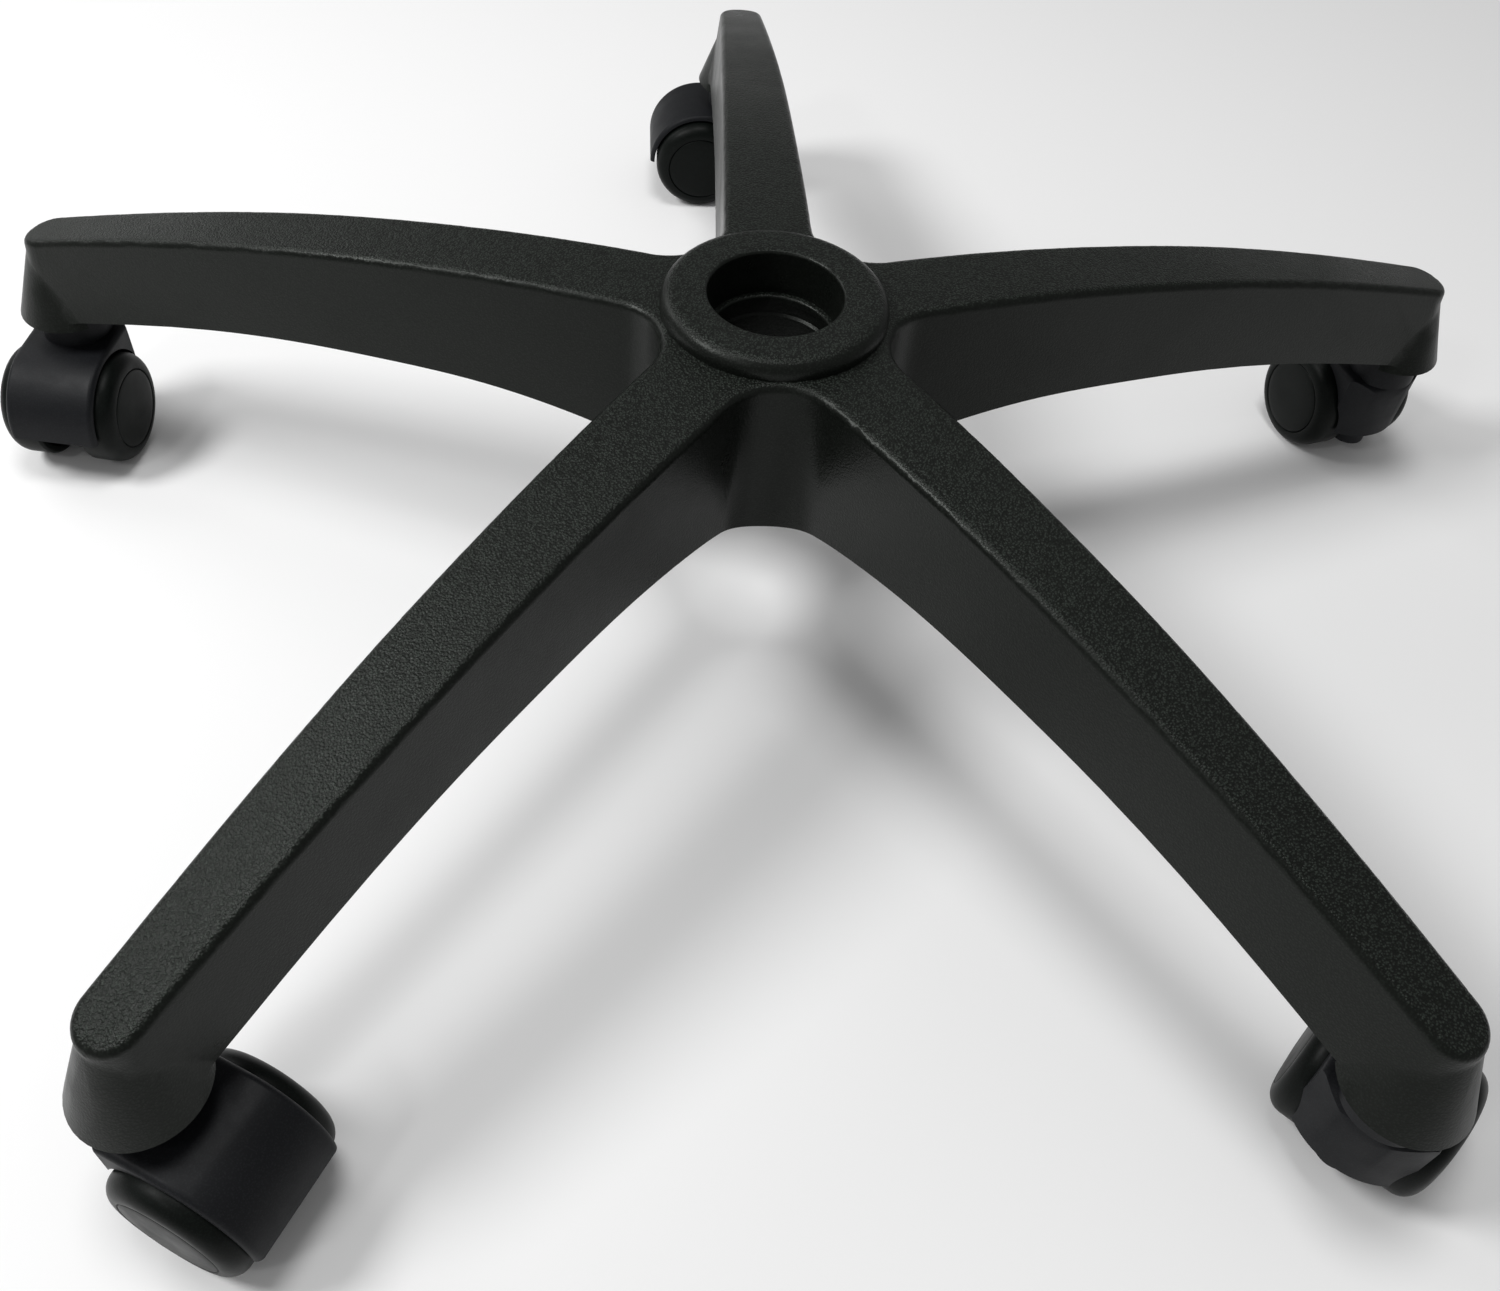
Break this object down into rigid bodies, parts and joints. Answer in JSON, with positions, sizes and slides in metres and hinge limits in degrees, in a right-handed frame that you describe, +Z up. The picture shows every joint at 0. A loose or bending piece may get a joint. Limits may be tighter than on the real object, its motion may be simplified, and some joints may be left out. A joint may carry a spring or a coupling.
{
  "type": "office chair five star base",
  "caption": "Moulded five star office chair base with a central gas lift bore, ribbed underside and hooded twin wheel swivel casters at the arm ends",
  "frame": {"origin": "on the hub's axis, at the top of the gas lift bore's straight wall", "axes": "+Z up along the gas lift's axis, +Y along the rear arm, +X to the right seen from above with the rear arm away"},
  "size_m": [0.6638, 0.6455, 0.157],
  "materials": {
    "base_nylon": "moulded glass filled nylon, fine pebbled grain on the top faces, near black",
    "caster_nylon": "moulded nylon, smooth satin black",
    "wheel_nylon": "moulded nylon, smooth satin black, scuffed tread",
    "steel": "zinc plated",
    "spring_steel": "plain spring steel"
  },
  "bodies": {
    "base": {"star_base": "base_nylon", "caster_rear_stem": "steel", "caster_rear_grip_ring": "spring_steel", "caster_left_stem": "steel", "caster_left_grip_ring": "spring_steel", "caster_front_left_stem": "steel", "caster_front_left_grip_ring": "spring_steel", "caster_front_right_stem": "steel", "caster_front_right_grip_ring": "spring_steel", "caster_right_stem": "steel", "caster_right_grip_ring": "spring_steel"},
    "caster_rear": {"caster_rear_hood": "caster_nylon", "caster_rear_axle": "steel"},
    "caster_rear_wheel_a": {"caster_rear_wheel_a": "wheel_nylon"},
    "caster_rear_wheel_b": {"caster_rear_wheel_b": "wheel_nylon"},
    "caster_left": {"caster_left_hood": "caster_nylon", "caster_left_axle": "steel"},
    "caster_left_wheel_a": {"caster_left_wheel_a": "wheel_nylon"},
    "caster_left_wheel_b": {"caster_left_wheel_b": "wheel_nylon"},
    "caster_front_left": {"caster_front_left_hood": "caster_nylon", "caster_front_left_axle": "steel"},
    "caster_front_left_wheel_a": {"caster_front_left_wheel_a": "wheel_nylon"},
    "caster_front_left_wheel_b": {"caster_front_left_wheel_b": "wheel_nylon"},
    "caster_front_right": {"caster_front_right_hood": "caster_nylon", "caster_front_right_axle": "steel"},
    "caster_front_right_wheel_a": {"caster_front_right_wheel_a": "wheel_nylon"},
    "caster_front_right_wheel_b": {"caster_front_right_wheel_b": "wheel_nylon"},
    "caster_right": {"caster_right_hood": "caster_nylon", "caster_right_axle": "steel"},
    "caster_right_wheel_a": {"caster_right_wheel_a": "wheel_nylon"},
    "caster_right_wheel_b": {"caster_right_wheel_b": "wheel_nylon"}
  },
  "joints": [
    {"name": "caster_rear_swivel", "type": "hinge", "parent": "base", "child": "caster_rear", "pos_m": [0, 0.3195, -0.09], "axis": [0, 0, 1], "continuous": true},
    {"name": "caster_rear_wheel_a_spin", "type": "hinge", "parent": "caster_rear", "child": "caster_rear_wheel_a", "pos_m": [-0.019, 0.31917, -0.1305], "axis": [0.0175, -0.9998, 0], "continuous": true},
    {"name": "caster_rear_wheel_b_spin", "type": "hinge", "parent": "caster_rear", "child": "caster_rear_wheel_b", "pos_m": [-0.019, 0.31917, -0.1305], "axis": [0.0175, -0.9998, 0], "continuous": true},
    {"name": "caster_left_swivel", "type": "hinge", "parent": "base", "child": "caster_left", "pos_m": [-0.30386, 0.09873, -0.09], "axis": [0, 0, 1], "continuous": true},
    {"name": "caster_left_wheel_a_spin", "type": "hinge", "parent": "caster_left", "child": "caster_left_wheel_a", "pos_m": [-0.30651, 0.07992, -0.1305], "axis": [0.9903, -0.1392, 0], "continuous": true},
    {"name": "caster_left_wheel_b_spin", "type": "hinge", "parent": "caster_left", "child": "caster_left_wheel_b", "pos_m": [-0.30651, 0.07992, -0.1305], "axis": [0.9903, -0.1392, 0], "continuous": true},
    {"name": "caster_front_left_swivel", "type": "hinge", "parent": "base", "child": "caster_front_left", "pos_m": [-0.1878, -0.25848, -0.09], "axis": [0, 0, 1], "continuous": true},
    {"name": "caster_front_left_wheel_a_spin", "type": "hinge", "parent": "caster_front_left", "child": "caster_front_left_wheel_a", "pos_m": [-0.17087, -0.26711, -0.1305], "axis": [0.454, 0.891, 0], "continuous": true},
    {"name": "caster_front_left_wheel_b_spin", "type": "hinge", "parent": "caster_front_left", "child": "caster_front_left_wheel_b", "pos_m": [-0.17087, -0.26711, -0.1305], "axis": [0.454, 0.891, 0], "continuous": true},
    {"name": "caster_front_right_swivel", "type": "hinge", "parent": "base", "child": "caster_front_right", "pos_m": [0.1878, -0.25848, -0.09], "axis": [0, 0, 1], "continuous": true},
    {"name": "caster_front_right_wheel_a_spin", "type": "hinge", "parent": "caster_front_right", "child": "caster_front_right_wheel_a", "pos_m": [0.20051, -0.24436, -0.1305], "axis": [-0.7431, 0.6691, 0], "continuous": true},
    {"name": "caster_front_right_wheel_b_spin", "type": "hinge", "parent": "caster_front_right", "child": "caster_front_right_wheel_b", "pos_m": [0.20051, -0.24436, -0.1305], "axis": [-0.7431, 0.6691, 0], "continuous": true},
    {"name": "caster_right_swivel", "type": "hinge", "parent": "base", "child": "caster_right", "pos_m": [0.30386, 0.09873, -0.09], "axis": [0, 0, 1], "continuous": true},
    {"name": "caster_right_wheel_a_spin", "type": "hinge", "parent": "caster_right", "child": "caster_right_wheel_a", "pos_m": [0.29847, 0.11695, -0.1305], "axis": [-0.9588, -0.284, 0], "continuous": true},
    {"name": "caster_right_wheel_b_spin", "type": "hinge", "parent": "caster_right", "child": "caster_right_wheel_b", "pos_m": [0.29847, 0.11695, -0.1305], "axis": [-0.9588, -0.284, 0], "continuous": true}
  ]
}
